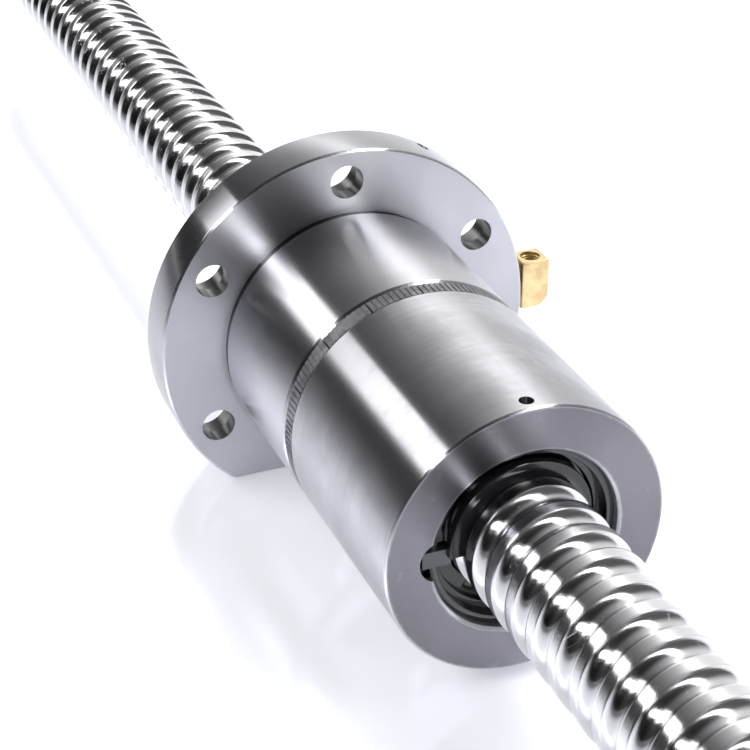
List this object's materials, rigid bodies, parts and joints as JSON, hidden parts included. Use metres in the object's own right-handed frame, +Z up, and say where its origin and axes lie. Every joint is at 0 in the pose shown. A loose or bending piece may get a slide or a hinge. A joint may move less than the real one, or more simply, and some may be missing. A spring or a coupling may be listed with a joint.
{
  "type": "ball screw",
  "caption": "Preloaded double-nut ball screw with a round bolt flange, wipers, a brass lubrication elbow and plain turned shaft ends.",
  "frame": {"origin": "centre of the flange's seat face, on the screw's axis", "axes": "+X along the screw's axis towards the plain nut, +Z up, away from the flange's flat"},
  "size_m": [0.748, 0.1369, 0.1095],
  "materials": {
    "ground_steel": "satin",
    "track_steel": "polished",
    "dark_steel": "satin",
    "spring_steel": "satin",
    "tube_steel": "satin",
    "ball_steel": "polished",
    "black_steel": "satin",
    "black_plastic": "matte",
    "brass": "satin"
  },
  "bodies": {
    "nut": {"flanged_nut": "ground_steel", "plain_nut": "ground_steel", "spacer_ring": "dark_steel", "front_wiper": "black_plastic", "rear_wiper": "black_plastic", "front_wiper_screw": "black_steel", "rear_wiper_screw": "black_steel", "flanged_nut_return_tube": "tube_steel", "plain_nut_return_tube": "tube_steel", "flanged_nut_tube_clamp": "tube_steel", "plain_nut_tube_clamp": "tube_steel", "flanged_nut_clamp_screws": "black_steel", "plain_nut_clamp_screws": "black_steel", "flanged_nut_balls": "ball_steel", "plain_nut_balls": "ball_steel", "nut_key": "dark_steel", "nut_key_screws": "black_steel", "lube_elbow": "brass"},
    "spring_rings": {"front_wiper_spring": "spring_steel", "rear_wiper_spring": "spring_steel"},
    "screw": {"screw_shaft": "track_steel"}
  },
  "joints": [
    {"name": "screw_turn", "type": "hinge", "parent": "nut", "child": "spring_rings", "pos_m": [0, 0, 0], "axis": [1, 0, 0], "range_deg": [-3600, 10800]},
    {"name": "screw_travel", "type": "slide", "parent": "spring_rings", "child": "screw", "axis": [1, 0, 0], "range_m": [-0.1205, 0.3605]}
  ],
  "couplings": [
    {"joint": "screw_travel", "follows": "screw_turn", "m_per_rad": 0.0019099}
  ]
}
